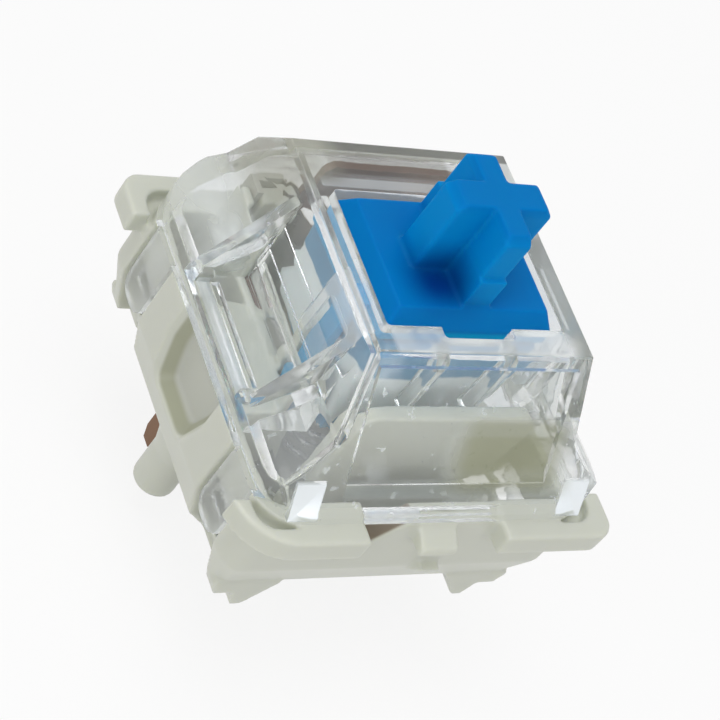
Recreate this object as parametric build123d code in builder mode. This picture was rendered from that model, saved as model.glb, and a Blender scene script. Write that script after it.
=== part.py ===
from build123d import *
from math import radians, sin
import os

# Mechanical keyboard switch: a clear upper housing snapped on a milky lower housing, a stem with a click
# jacket, a return spring, and a pair of contacts.
#
# Millimetres. +Z runs up along the stem, +X to the right and +Y to the contact side. The origin is on the
# centre post's axis, in the plane of the circuit board that the switch is soldered to.

# ---- Sizes that the whole switch family shares ----
cutout = 14.0
cutout_clearance = 0.05
flange_size = 15.6
flange_underside = 5.0
flange_top = 6.0
flange_corner_radius = 0.8
flange_front_left_radius = 2.2
housing_top = 11.6
stem_reach = 3.6
travel = 4.0
pin_reach = 3.3
post_diameter = 4.0
side_post_diameter = 1.7
side_post_reach = 2.2
side_post_spacing = 10.16
fixed_pin_x, fixed_pin_y = 2.54, 5.08
moving_pin_x, moving_pin_y = -3.81, 2.54
pin_width = 0.9
pin_tip_width = 0.5
pin_tip_height = 0.5
cross_size = 4.0
cross_bar_x = 1.29
cross_bar_y = 1.09

# ---- Clearances ----
slide_clearance = 0.12
seat_clearance = 0.05
plate_clearance = 0.03
opening_clearance = 0.15

# ---- Working lengths ----
# Each feature starts this far inside the body it grows from, so that the two are one solid.
sink = 0.1
# Longer than the whole switch, for cuts that pass right through.
through = 20.0
nearly_zero = 1e-6
# A sloping cut runs this far past the straight one above it.
cut_overrun = 0.001

# ---- Lower housing ----
wall = 1.0
floor_underside = 0.35
floor_thickness = 0.65
body_corner_radius = 0.9
skirt_inset = 0.6
skirt_bottom = 1.3
skirt_top = 3.0
floor_inset = 1.1
cavity_bottom_chamfer = 0.7
housing_seat = 5.9
pad_gap_half = 2.9
pad_inner_y = 5.9
pad_lip_clearance = 0.22
tab_x = 0.3
tab_half_width = 0.78
tab_root_top, tab_end_top = 5.75, 5.35
nub_x = 1.25
nub_half_width = 0.43
nub_reach = 0.45
nub_slope = 0.15
plate_thickness = 1.5
nub_height = 0.8
notch_inner_x = -0.9
notch_bottom = 3.5
foot_tip_inner, foot_tip_outer = 4.6, 5.05
foot_inner_top = 3.65
corner_foot_inner = 5.35
corner_foot_drop = 0.55
corner_foot_bevel = 0.25
foot_depth = 0.95
side_recess_half = 2.1
side_recess_bottom_half = 1.7
side_recess_depth = 0.7
side_recess_bottom = 2.45
side_recess_slope = 0.7
side_recess_radius = 0.4
pocket_inner_y, pocket_outer_y = 3.6, 5.65
channel_bevel_top = 2.7
channel_bevel_inset = 1.1
pocket_depth = 0.65
latch_window_inset = 0.15
ledge_underside = 4.0
led_wall_half_width = 3.85
led_wall_thickness = 0.6
led_wall_inner_y = 4.0
led_wall_top = 8.8
led_wall_corner_radius = 0.9
led_hole_diameter = 1.0
led_hole_spacing = 2.54
led_hole_y = -5.08
spring_post_diameter = 2.9
spring_post_top = 5.4
pole_bore_bottom = -2.5
post_tip_chamfer = 0.45
side_post_tip_chamfer = 0.3
side_post_root_diameter = 2.3
guide_width = 0.5
guide_top = 8.3
guide_foot_top = 5.6
holder_height = 2.6
holder_wall = 0.45
moving_holder_wall = 0.15
moving_holder_height = 4.7

# ---- Upper housing ----
upper_wall = 0.75
base_overhang = 0.05
base_height = 1.15
flare_inset, flare_top = 1.05, 7.75
shoulder_spread, shoulder_height = 0.45, 8.6
top_front_y, top_back_y = 3.95, 5.0
front_foot_inset, front_foot_top = 0.3, 6.6
front_foot_slope = 0.25
back_shoulder_inset, back_shoulder_top = 0.8, 10.2
back_foot_top = 8.0
window_half = 2.65
window_wall = 0.55
window_clearance = 0.08
window_draft = 0.05
window_sill_top = 6.9
front_panel_half = 4.2
front_panel_depth = 0.25
front_panel_top, front_panel_bottom = 11.1, 7.4
front_panel_bevel = 0.1
led_slot_half = 1.5
led_slot_depth = 0.45
led_rib_start = 1.15
led_rib_width = 0.55
led_rib_bottom = 7.9
led_rib_depth = 0.55
led_rib_back_y = 3.2
latch_thickness = 0.55
latch_side_clearance = 0.15
latch_back_clearance = 0.05
latch_bottom = 2.6
latch_lip = 0.3
latch_lip_height = 0.6
latch_corner_radius = 0.7
top_edge_chamfer = 0.15

# ---- Stem ----
platform_half_y = 2.7
platform_top = 11.9
platform_shoulder = 11.2
platform_bevel_taper = 31
platform_bottom = 10.3
skirt_half_x, skirt_half_y = 2.6, 2.4
stem_bottom = 5.1
spring_seat = 9.6
spring_cavity_diameter = 4.1
pole_diameter = 1.8
pole_bottom = 1.6
pole_tip_chamfer = 0.3
rail_y = -1.2
rail_half_width = 0.45
rail_root = 0.11
rail_thickness = 0.46
rail_bottom = 5.4
cross_tip_chamfer = 0.22
foot_step_height = 1.4
foot_step_reach = 0.15
jacket_stop_reach = 0.35
jacket_stop_height = 0.3
jacket_stop_half_width = 0.8

# ---- Click jacket ----
jacket_wall_x, jacket_wall_y = 0.6, 0.45
jacket_bottom = 6.25
jacket_corner_radius = 0.5
jacket_slip = 0.8
lobe_reach = 0.85
lobe_x = 0.5
lobe_width = 0.5
lobe_flat_top = 7.6
lobe_foot = 0.5

# ---- Contacts ----
plate = 0.3
terminal_bottom = 1.15
moving_plate_top = 5.6
moving_fold_top = 8.5
moving_fold_end_x = -2.65
leaf = 0.1
leaf_bottom, leaf_top = 6.35, 7.95
leaf_root_x = -3.55
leaf_end_x = 3.3
follower_half = 1.0
follower_clearance = 0.15
leaf_ramp = 1.1
leaf_bend_radius = 0.35
fixed_plate_half = 1.15
fixed_plate_top = 10.0
fixed_head_bottom = 8.4
fixed_head_end_x = -2.4
point_width = 0.35
point_length = 1.2
leaf_point_height = 0.15
fixed_point_height = 0.17
contact_height = 7.2
leaf_swing = 3.6

# ---- Return spring ----
spring_wire = 0.28
spring_mean_diameter = 3.5
spring_turns = 11.5

# ---- Sizes worked out from those above ----
body_half = cutout / 2 - cutout_clearance
flange_half = flange_size / 2
skirt_half = body_half - skirt_inset
cavity_half = body_half - wall
floor_top = floor_underside + floor_thickness
side_post_x = side_post_spacing / 2
pole_bore_diameter = pole_diameter + 2 * slide_clearance
pocket_back_x = body_half - pocket_depth
latch_back_x = pocket_back_x + latch_back_clearance
ceiling = housing_top - upper_wall
cross_top = housing_top + stem_reach
rail_inner_x = skirt_half_x + 2 * slide_clearance + jacket_wall_x
rail_outer_x = rail_inner_x + rail_thickness
rail_top = ceiling - seat_clearance
platform_half_x = rail_inner_x + rail_root
opening_half_x = platform_half_x + opening_clearance
opening_half_y = platform_half_y + opening_clearance
jacket_inner_x = skirt_half_x + slide_clearance
jacket_inner_y = skirt_half_y + slide_clearance
jacket_outer_x = jacket_inner_x + jacket_wall_x - slide_clearance / 2
jacket_outer_y = jacket_inner_y + jacket_wall_y
jacket_top = platform_bottom - seat_clearance
lobe_y = jacket_outer_y + lobe_reach
guide_inner_x = platform_half_x + slide_clearance
guide_slot_half = rail_half_width + slide_clearance
guide_back_x = rail_outer_x + slide_clearance
guide_reach = guide_slot_half + guide_width - rail_y
window_inner_x = guide_back_x + window_clearance
window_wall_x = window_inner_x + window_wall
top_half = window_wall_x - window_draft
base_half = body_half + base_overhang
flare_half = base_half - flare_inset
shoulder_half = top_half + shoulder_spread
front_foot_y = base_half - front_foot_inset
back_shoulder_y = base_half - back_shoulder_inset
moving_fold_y = cavity_half - seat_clearance

os.makedirs("parts", exist_ok=True)

SIDES = (-1, 1)
CORNERS = [(side, end) for side in SIDES for end in SIDES]
STANDING = (Align.CENTER, Align.CENTER, Align.MIN)


def block(x_limits, y_limits, z_limits, mode=Mode.ADD):
    """A box between two limits along each axis."""
    limits = (x_limits, y_limits, z_limits)
    middle = tuple((low + high) / 2 for low, high in limits)
    with Locations(middle):
        Box(*[abs(high - low) for low, high in limits], mode=mode)


def prism(plane, points, amount, both=False, radius=0, corners=(), mode=Mode.ADD):
    """An outline of straight edges on a plane, with the named corners rounded, pulled out by an amount."""
    with BuildSketch(plane) as outline:
        with BuildLine():
            Polyline(*points, close=True)
        make_face()
        if radius:
            chosen = [points[index] for index in corners]
            near = [
                vertex
                for vertex in outline.vertices()
                if any(abs(vertex.X - x) + abs(vertex.Y - y) < nearly_zero for x, y in chosen)
            ]
            fillet(near, radius)
    extrude(outline.sketch, amount=amount, both=both, mode=mode)


def mirrored(points, side):
    """The same outline on the chosen side of the vertical axis."""
    return [(side * x, y) for x, y in points]


# ---------------------------------------------------------------- lower housing
with BuildPart() as lower_housing:
    # Floor with chamfered edges, the skirt that widens to the cut-out size, and the straight body above it.
    with BuildSketch(Plane.XY.offset(floor_underside)):
        RectangleRounded(2 * (skirt_half - floor_inset), 2 * (skirt_half - floor_inset), body_corner_radius)
    with BuildSketch(Plane.XY.offset(skirt_bottom)):
        RectangleRounded(2 * skirt_half, 2 * skirt_half, body_corner_radius)
    loft()
    with BuildSketch(Plane.XY.offset(skirt_bottom)):
        RectangleRounded(2 * skirt_half, 2 * skirt_half, body_corner_radius)
    with BuildSketch(Plane.XY.offset(skirt_top)):
        RectangleRounded(2 * body_half, 2 * body_half, body_corner_radius)
    loft()
    with BuildSketch(Plane.XY.offset(skirt_top)):
        RectangleRounded(2 * body_half, 2 * body_half, body_corner_radius)
    extrude(amount=housing_seat - skirt_top)

    # Flange: four corner pads, each with a lip around the upper housing's foot.
    with BuildSketch(Plane.XY.offset(flange_underside)) as flange:
        Rectangle(flange_size, flange_size)
        fillet(flange.vertices().sort_by(lambda corner: corner.X + corner.Y)[1:], flange_corner_radius)
        fillet(flange.vertices().sort_by(lambda corner: corner.X + corner.Y)[0], flange_front_left_radius)
        Rectangle(2 * pad_gap_half, 2 * flange_size, mode=Mode.SUBTRACT)
        Rectangle(2 * flange_size, 2 * pad_inner_y, mode=Mode.SUBTRACT)
        Rectangle(2 * (body_half - wall / 2), 2 * (body_half - wall / 2), mode=Mode.SUBTRACT)
    extrude(amount=flange_top - flange_underside)
    lip_half = base_half + pad_lip_clearance
    with BuildSketch(Plane.XY.offset(housing_seat)):
        RectangleRounded(2 * lip_half, 2 * lip_half, body_corner_radius)
    extrude(amount=flange_top, mode=Mode.SUBTRACT)

    # Inner chamber.
    with BuildSketch(Plane.XY.offset(floor_top + cavity_bottom_chamfer)):
        RectangleRounded(2 * cavity_half, 2 * cavity_half, body_corner_radius / 2)
    extrude(amount=housing_seat, mode=Mode.SUBTRACT)
    with BuildSketch(Plane.XY.offset(floor_top)):
        Rectangle(2 * (cavity_half - cavity_bottom_chamfer), 2 * (cavity_half - cavity_bottom_chamfer))
    with BuildSketch(Plane.XY.offset(floor_top + cavity_bottom_chamfer + cut_overrun)):
        Rectangle(2 * cavity_half, 2 * cavity_half)
    loft(mode=Mode.SUBTRACT)

    for end in SIDES:
        # Clip tab at the middle of the front and back, with the nub that holds the plate from below.
        tab_root = end * (cavity_half + wall / 2)
        tab_outline = [
            (tab_root, flange_underside),
            (tab_root, tab_root_top),
            (end * body_half, tab_root_top),
            (end * flange_half, tab_end_top),
            (end * flange_half, flange_underside),
        ]
        prism(Plane.YZ.offset(-end * tab_x), tab_outline, tab_half_width, both=True)
        nub_top = flange_underside - plate_thickness
        nub_outline = [
            (tab_root, nub_top),
            (end * body_half, nub_top),
            (end * (body_half + nub_reach), nub_top - nub_slope),
            (end * body_half, nub_top - nub_height),
            (tab_root, nub_top - nub_height),
        ]
        prism(Plane.YZ.offset(-end * nub_x), nub_outline, nub_half_width, both=True)

    # Sloping notch beside the front tab, which opens the wall under the upper housing's edge.
    notch_outline = [
        (-pad_gap_half, notch_bottom),
        (notch_inner_x, flange_top),
        (-pad_gap_half, flange_top),
    ]
    prism(Plane.XZ.offset(cavity_half - sink), notch_outline, through, mode=Mode.SUBTRACT)

    # Corner feet: a low corner block and a pointed foot that stands on the circuit board.
    foot_outline = [
        (foot_inner_top, skirt_bottom),
        (foot_tip_inner, 0),
        (foot_tip_outer, 0),
        (corner_foot_inner, skirt_bottom - corner_foot_drop),
        (skirt_half - corner_foot_bevel, skirt_bottom - corner_foot_drop),
        (skirt_half, skirt_bottom),
        (skirt_half, skirt_bottom + sink),
        (foot_inner_top, skirt_bottom + sink),
    ]
    for side in SIDES:
        prism(Plane.XZ.offset(skirt_half - foot_depth), mirrored(foot_outline, side), foot_depth)
        prism(Plane.XZ.offset(-skirt_half), mirrored(foot_outline, side), foot_depth)

    for side in SIDES:
        # Shield-shaped recess in the middle of each side.
        recess_outline = [
            (-side_recess_half, flange_top),
            (-side_recess_half, side_recess_bottom + side_recess_slope),
            (-side_recess_bottom_half, side_recess_bottom),
            (side_recess_bottom_half, side_recess_bottom),
            (side_recess_half, side_recess_bottom + side_recess_slope),
            (side_recess_half, flange_top),
        ]
        prism(
            Plane.YZ.offset(side * (body_half - side_recess_depth)),
            recess_outline,
            side * through,
            radius=side_recess_radius,
            corners=(1, 2, 3, 4),
            mode=Mode.SUBTRACT,
        )
        for end in SIDES:
            # Channel for a latch, bevelled at its foot. The latch's lip holds under the ledge above its window.
            channel_y = sorted((end * pocket_inner_y, end * pocket_outer_y))
            channel_x = sorted((side * pocket_back_x, side * through))
            block(channel_x, channel_y, (-through, through), mode=Mode.SUBTRACT)
            bevel_outline = [
                (side * pocket_back_x, channel_bevel_top),
                (side * (pocket_back_x - channel_bevel_inset), channel_bevel_top - 2 * channel_bevel_inset),
                (side * through, channel_bevel_top - 2 * channel_bevel_inset),
                (side * through, channel_bevel_top),
            ]
            middle_y = (pocket_inner_y + pocket_outer_y) / 2
            prism(
                Plane.XZ.offset(-end * middle_y),
                bevel_outline,
                (pocket_outer_y - pocket_inner_y) / 2,
                both=True,
                mode=Mode.SUBTRACT,
            )
            window_inner_y = end * (pocket_inner_y + latch_window_inset)
            window_outer_y = end * (pocket_outer_y - latch_window_inset)
            window_y = sorted((window_inner_y, window_outer_y))
            window_x = sorted((side * (cavity_half - sink), side * (pocket_back_x + sink)))
            block(window_x, window_y, (latch_bottom, ledge_underside), mode=Mode.SUBTRACT)

    # Wall between the stem's chamber and the lamp's.
    prism(
        Plane.XZ.offset(led_wall_inner_y),
        [
            (-led_wall_half_width, floor_top - sink),
            (led_wall_half_width, floor_top - sink),
            (led_wall_half_width, led_wall_top),
            (-led_wall_half_width, led_wall_top),
        ],
        led_wall_thickness,
        radius=led_wall_corner_radius,
        corners=(2, 3),
    )

    for side in SIDES:
        # Guides for the stem's rail: two uprights with a closed foot between them and the outer wall.
        foot_x = sorted((side * guide_inner_x, side * (cavity_half + sink)))
        upright_x = sorted((side * guide_inner_x, side * guide_back_x))
        block(foot_x, (-guide_reach, guide_reach), (floor_top - sink, guide_foot_top))
        block(upright_x, (-guide_reach, 2 * rail_y + guide_reach), (floor_top - sink, guide_top))
        slot_x = sorted((0, side * guide_back_x))
        slot_y = (rail_y - guide_slot_half, rail_y + guide_slot_half)
        block(slot_x, slot_y, (floor_top, through), mode=Mode.SUBTRACT)

    # Holders for the two terminals' roots.
    fixed_holder_half = fixed_plate_half + holder_wall
    fixed_holder_x = (fixed_pin_x - fixed_holder_half, fixed_pin_x + fixed_holder_half)
    fixed_holder_y = (fixed_pin_y - plate / 2 - holder_wall, fixed_pin_y + plate / 2 + holder_wall)
    block(fixed_holder_x, fixed_holder_y, (floor_top - sink, floor_top + holder_height))
    moving_holder_x = (moving_pin_x - plate / 2 - holder_wall, moving_pin_x + plate / 2 + moving_holder_wall)
    moving_holder_y = (moving_pin_y - pin_width / 2 - holder_wall, cavity_half + sink)
    block(moving_holder_x, moving_holder_y, (floor_top - sink, floor_top + moving_holder_height))

    # Spring post, centre post and side posts.
    with Locations((0, 0, floor_underside)):
        Cylinder(spring_post_diameter / 2, spring_post_top - floor_underside, align=STANDING)
    with Locations((0, 0, -pin_reach)):
        Cylinder(post_diameter / 2, pin_reach + floor_top - sink, align=STANDING)
    with Locations(*[(side * side_post_x, 0, -side_post_reach) for side in SIDES]):
        Cylinder(side_post_diameter / 2, side_post_reach + sink, align=STANDING)
    with Locations(*[(side * side_post_x, 0, 0) for side in SIDES]):
        Cone(side_post_diameter / 2, side_post_root_diameter / 2, skirt_bottom, align=STANDING)
    chamfer(lower_housing.faces().filter_by(Axis.Z).group_by(Axis.Z)[0].edges(), post_tip_chamfer)
    side_tips = [
        face
        for face in lower_housing.faces().filter_by(Axis.Z)
        if abs(face.center().Z + side_post_reach) < nearly_zero
    ]
    for face in side_tips:
        chamfer(face.edges(), side_post_tip_chamfer)

    # Bore for the stem's pole, terminal slots and the lamp's lead holes.
    with Locations((0, 0, pole_bore_bottom)):
        Cylinder(pole_bore_diameter / 2, through, align=STANDING, mode=Mode.SUBTRACT)
    slot_half = plate / 2 + plate_clearance
    pin_slot_half = pin_width / 2 + plate_clearance
    fixed_slot_half = fixed_plate_half + plate_clearance
    fixed_slot_y = (fixed_pin_y - slot_half, fixed_pin_y + slot_half)
    moving_slot_x = (moving_pin_x - slot_half, moving_pin_x + slot_half)
    slot_floor = terminal_bottom - plate_clearance
    fixed_slot_x = (fixed_pin_x - fixed_slot_half, fixed_pin_x + fixed_slot_half)
    block(fixed_slot_x, fixed_slot_y, (slot_floor, spring_post_top), mode=Mode.SUBTRACT)
    fixed_pin_slot_x = (fixed_pin_x - pin_slot_half, fixed_pin_x + pin_slot_half)
    block(fixed_pin_slot_x, fixed_slot_y, (-through, slot_floor + sink), mode=Mode.SUBTRACT)
    moving_slot_y = (moving_pin_y - pin_slot_half, moving_fold_y + plate_clearance)
    block(moving_slot_x, moving_slot_y, (slot_floor, through), mode=Mode.SUBTRACT)
    moving_pin_slot_y = (moving_pin_y - pin_slot_half, moving_pin_y + pin_slot_half)
    block(moving_slot_x, moving_pin_slot_y, (-through, slot_floor + sink), mode=Mode.SUBTRACT)
    with Locations(*[(side * led_hole_spacing / 2, led_hole_y, 0) for side in SIDES]):
        Cylinder(led_hole_diameter / 2, 2 * floor_top + sink, mode=Mode.SUBTRACT)

lower_housing.part.label = "lower_housing"


# ---------------------------------------------------------------- upper housing
def front_view(drop):
    """The housing's outline seen from the front, its foot lowered by the given amount."""
    foot = housing_seat - drop
    right = [
        (base_half, foot),
        (base_half, housing_seat + base_height),
        (flare_half, flare_top),
        (shoulder_half, shoulder_height),
        (top_half, housing_top),
    ]
    return right + [(-x, z) for x, z in reversed(right)]


def side_view(drop):
    """The housing's outline seen from the side, with the lamp's side at -Y."""
    foot = housing_seat - drop
    return [
        (-base_half, foot),
        (base_half, foot),
        (base_half, back_foot_top),
        (back_shoulder_y, back_shoulder_top),
        (top_back_y, housing_top),
        (-top_front_y, housing_top),
        (-front_foot_y, front_foot_top),
        (-base_half, front_foot_top - front_foot_slope),
    ]


with BuildPart() as upper_cavity:
    with BuildSketch(Plane.XZ):
        with BuildLine():
            Polyline(*front_view(2 * upper_wall), close=True)
        make_face()
        offset(amount=-upper_wall, kind=Kind.INTERSECTION)
    extrude(amount=2 * base_half, both=True)
    with BuildSketch(Plane.YZ):
        with BuildLine():
            Polyline(*side_view(2 * upper_wall), close=True)
        make_face()
        offset(amount=-upper_wall, kind=Kind.INTERSECTION)
    extrude(amount=2 * base_half, both=True, mode=Mode.INTERSECT)
    for side in SIDES:
        behind_window_x = sorted((side * window_inner_x, side * through))
        behind_window_y = (-window_half - upper_wall, window_half + upper_wall)
        block(behind_window_x, behind_window_y, (window_sill_top - upper_wall, through), mode=Mode.SUBTRACT)

with BuildPart() as upper_housing:
    with BuildSketch(Plane.XZ):
        with BuildLine():
            Polyline(*front_view(0), close=True)
        make_face()
    extrude(amount=2 * base_half, both=True)
    with BuildSketch(Plane.YZ):
        with BuildLine():
            Polyline(*side_view(0), close=True)
        make_face()
    extrude(amount=2 * base_half, both=True, mode=Mode.INTERSECT)

    # Windows in the two sides, between the corner wings.
    for side in SIDES:
        window_x = sorted((side * window_wall_x, side * through))
        block(window_x, (-window_half, window_half), (window_sill_top, through), mode=Mode.SUBTRACT)

    add(upper_cavity.part, mode=Mode.SUBTRACT)

    # Shallow panel in the front face, between its two corner ridges.
    front_slope = (front_foot_y - top_front_y) / (housing_top - front_foot_top)
    panel_top_y = -top_front_y - front_slope * (housing_top - front_panel_top)
    panel_bottom_y = -top_front_y - front_slope * (housing_top - front_panel_bottom)
    panel_outline = [
        (panel_top_y, front_panel_top),
        (panel_top_y + front_panel_depth, front_panel_top - front_panel_bevel),
        (panel_bottom_y + front_panel_depth, front_panel_bottom + front_panel_bevel),
        (panel_bottom_y, front_panel_bottom - front_panel_bevel),
        (panel_bottom_y - wall, front_panel_bottom - front_panel_bevel),
        (panel_top_y - wall, front_panel_top),
    ]
    prism(Plane.YZ, panel_outline, front_panel_half, both=True, mode=Mode.SUBTRACT)

    # Opening for the stem, and the slot beside it where the lamp shines through.
    block(
        (-opening_half_x, opening_half_x),
        (-opening_half_y, opening_half_y),
        (ceiling - sink, through),
        mode=Mode.SUBTRACT,
    )
    slot_front = -opening_half_y - led_slot_depth
    block((-led_slot_half, led_slot_half), (slot_front, 0), (ceiling - sink, through), mode=Mode.SUBTRACT)

    # Two upright ribs beside the lamp's slot.
    for side in SIDES:
        rib_x = sorted((side * led_rib_start, side * (led_rib_start + led_rib_width)))
        rib_y = (-led_rib_back_y - led_rib_depth, -led_rib_back_y)
        block(rib_x, rib_y, (led_rib_bottom, ceiling + sink))

    # Latches: a leg down each pocket, with a lip that snaps under the lower housing's ledge.
    for side, end in CORNERS:
        leg_inner = end * (pocket_inner_y + latch_side_clearance)
        leg_outer = end * (pocket_outer_y - latch_side_clearance)
        leg_outline = [
            (leg_inner, housing_seat + upper_wall / 2),
            (leg_inner, latch_bottom),
            (leg_outer, latch_bottom),
            (leg_outer, housing_seat + upper_wall / 2),
        ]
        prism(
            Plane.YZ.offset(side * latch_back_x),
            leg_outline,
            side * latch_thickness,
            radius=latch_corner_radius,
            corners=(1, 2),
        )
        lip_x = sorted((side * (latch_back_x - latch_lip), side * (latch_back_x + sink)))
        lip_y = sorted((leg_inner + end * latch_lip, leg_outer - end * latch_lip))
        lip_top = ledge_underside - seat_clearance
        block(lip_x, lip_y, (lip_top - latch_lip_height, lip_top))

    top_rim = upper_housing.faces().filter_by(Axis.Z).sort_by(Axis.Z)[-1]
    chamfer(top_rim.outer_wire().edges(), top_edge_chamfer)

upper_housing.part.label = "upper_housing"


# ---------------------------------------------------------------- stem
with BuildPart() as stem:
    platform_x, platform_y = (-platform_half_x, platform_half_x), (-platform_half_y, platform_half_y)
    block(platform_x, platform_y, (platform_bottom, platform_shoulder))
    with BuildSketch(Plane.XY.offset(platform_shoulder)):
        Rectangle(2 * platform_half_x, 2 * platform_half_y)
    extrude(amount=platform_top - platform_shoulder, taper=platform_bevel_taper)
    block((-skirt_half_x, skirt_half_x), (-skirt_half_y, skirt_half_y), (stem_bottom, platform_bottom))

    # Spring cavity and the pole that runs in the lower housing's post.
    with Locations((0, 0, stem_bottom)):
        Cylinder(spring_cavity_diameter / 2, spring_seat - stem_bottom, align=STANDING, mode=Mode.SUBTRACT)
    with Locations((0, 0, pole_bottom)):
        Cylinder(pole_diameter / 2, spring_seat - pole_bottom + sink, align=STANDING)
    chamfer(stem.faces().filter_by(Axis.Z).group_by(Axis.Z)[0].edges(), pole_tip_chamfer)

    # Rails, and the stops that keep the click jacket on the skirt.
    for side in SIDES:
        rail_x = sorted((side * rail_inner_x, side * rail_outer_x))
        block(rail_x, (rail_y - rail_half_width, rail_y + rail_half_width), (rail_bottom, rail_top))
        stop_x = sorted((side * (skirt_half_x - sink), side * (skirt_half_x + jacket_stop_reach)))
        stop_z = (stem_bottom, stem_bottom + jacket_stop_height)
        block(stop_x, (-jacket_stop_half_width, jacket_stop_half_width), stop_z)

    # Keycap cross.
    cross_bottom = platform_top - sink
    cross_half = cross_size / 2
    with BuildSketch(Plane.XY.offset(cross_bottom)):
        Rectangle(cross_size, cross_bar_x)
        Rectangle(cross_bar_y, cross_size)
    extrude(amount=cross_top - cross_bottom)
    cross_face = stem.faces().filter_by(Axis.Z).sort_by(Axis.Z)[-1]
    tips = [
        edge
        for edge in cross_face.edges()
        if max(abs(edge.center().X), abs(edge.center().Y)) > cross_half - nearly_zero
    ]
    chamfer(tips, cross_tip_chamfer)
    for end in SIDES:
        step_y = sorted((0, end * (cross_half + foot_step_reach)))
        block((-cross_bar_y / 2, cross_bar_y / 2), step_y, (cross_bottom, cross_bottom + foot_step_height))

stem.part.label = "stem"


# ---------------------------------------------------------------- click jacket
with BuildPart() as click_jacket:
    with BuildSketch(Plane.XY.offset(jacket_bottom)):
        RectangleRounded(2 * jacket_outer_x, 2 * jacket_outer_y, jacket_corner_radius)
        Rectangle(2 * jacket_inner_x, 2 * jacket_inner_y, mode=Mode.SUBTRACT)
    extrude(amount=jacket_top - jacket_bottom)
    # Two lobes that hold the contact leaf back while the stem is up.
    lobe_outline = [
        (jacket_inner_y + sink, jacket_bottom),
        (lobe_y - lobe_foot, jacket_bottom),
        (lobe_y, jacket_bottom + lobe_foot / 2),
        (lobe_y, lobe_flat_top),
        (jacket_outer_y, jacket_top),
        (jacket_inner_y + sink, jacket_top),
    ]
    for side in SIDES:
        prism(Plane.YZ.offset(side * (lobe_x - lobe_width / 2)), lobe_outline, side * lobe_width)

click_jacket.part.label = "click_jacket"


# ---------------------------------------------------------------- contacts
def pin_outline(centre, top):
    """A blade pin with a tapered tip, centred on one axis of its plate."""
    half, tip_half = pin_width / 2, pin_tip_width / 2
    return [
        (centre - half, top),
        (centre - half, -pin_reach + pin_tip_height),
        (centre - tip_half, -pin_reach),
        (centre + tip_half, -pin_reach),
        (centre + half, -pin_reach + pin_tip_height),
        (centre + half, top),
    ]


with BuildPart() as moving_terminal:
    moving_pin = pin_outline(moving_pin_y, terminal_bottom + sink)
    prism(Plane.YZ.offset(moving_pin_x), moving_pin, plate / 2, both=True)
    plate_x = (moving_pin_x - plate / 2, moving_pin_x + plate / 2)
    block(plate_x, (moving_pin_y - pin_width / 2, moving_fold_y), (terminal_bottom, moving_plate_top))
    block(plate_x, (moving_fold_y - 3 * plate, moving_fold_y), (terminal_bottom, moving_fold_top))
    fold_bottom = floor_top + moving_holder_height + plate
    fold_x, fold_y = (plate_x[0], moving_fold_end_x), (moving_fold_y - plate, moving_fold_y)
    block(fold_x, fold_y, (fold_bottom, moving_fold_top))

moving_terminal.part.label = "moving_terminal"

leaf_y = moving_fold_y + leaf / 2
follower_y = lobe_y + follower_clearance + leaf / 2
with BuildPart() as contact_leaf:
    # Spring leaf: a root on the terminal's fold, a follower bent towards the jacket, and the contact finger.
    with BuildSketch(Plane.XY.offset(leaf_bottom)):
        with BuildLine():
            FilletPolyline(
                (leaf_root_x, leaf_y),
                (-follower_half - leaf_ramp, leaf_y),
                (-follower_half, follower_y),
                (follower_half, follower_y),
                (follower_half + leaf_ramp / 2, leaf_y),
                (leaf_end_x, leaf_y),
                radius=leaf_bend_radius,
            )
        trace(line_width=leaf)
    extrude(amount=leaf_top - leaf_bottom)

contact_leaf.part.label = "contact_leaf"

with BuildPart() as fixed_terminal:
    fixed_pin = pin_outline(fixed_pin_x, terminal_bottom + sink)
    prism(Plane.XZ.offset(-fixed_pin_y), fixed_pin, plate / 2, both=True)
    block(
        (fixed_pin_x - fixed_plate_half, fixed_pin_x + fixed_plate_half),
        (fixed_pin_y - plate / 2, fixed_pin_y + plate / 2),
        (terminal_bottom, fixed_plate_top),
    )
    # Wide head above the leaf.
    head_x = (fixed_head_end_x, fixed_pin_x)
    block(head_x, (fixed_pin_y - plate / 2, fixed_pin_y + plate / 2), (fixed_head_bottom, fixed_plate_top))
    chamfer(fixed_terminal.edges().filter_by(Axis.Y).group_by(Axis.Z)[-1], plate)

fixed_terminal.part.label = "fixed_terminal"

leaf_face_y = leaf_y - leaf / 2
with BuildPart() as moving_contact_point:
    # Upright ridge on the leaf's finger; it meets the fixed ridge at right angles.
    with BuildSketch(Plane.XY.offset(contact_height - point_length / 2)):
        with BuildLine():
            Polyline(
                (fixed_pin_x - point_width / 2, leaf_face_y),
                (fixed_pin_x + point_width / 2, leaf_face_y),
                (fixed_pin_x + point_width / 6, leaf_face_y - leaf_point_height),
                (fixed_pin_x - point_width / 6, leaf_face_y - leaf_point_height),
                close=True,
            )
        make_face()
    extrude(amount=point_length)

moving_contact_point.part.label = "moving_contact_point"

fixed_face_y = fixed_pin_y + plate / 2
with BuildPart() as fixed_contact_point:
    with BuildSketch(Plane.YZ.offset(fixed_pin_x - point_length / 2)):
        with BuildLine():
            Polyline(
                (fixed_face_y, contact_height - point_width / 2),
                (fixed_face_y, contact_height + point_width / 2),
                (fixed_face_y + fixed_point_height, contact_height + point_width / 6),
                (fixed_face_y + fixed_point_height, contact_height - point_width / 6),
                close=True,
            )
        make_face()
    extrude(amount=point_length)

fixed_contact_point.part.label = "fixed_contact_point"


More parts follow.
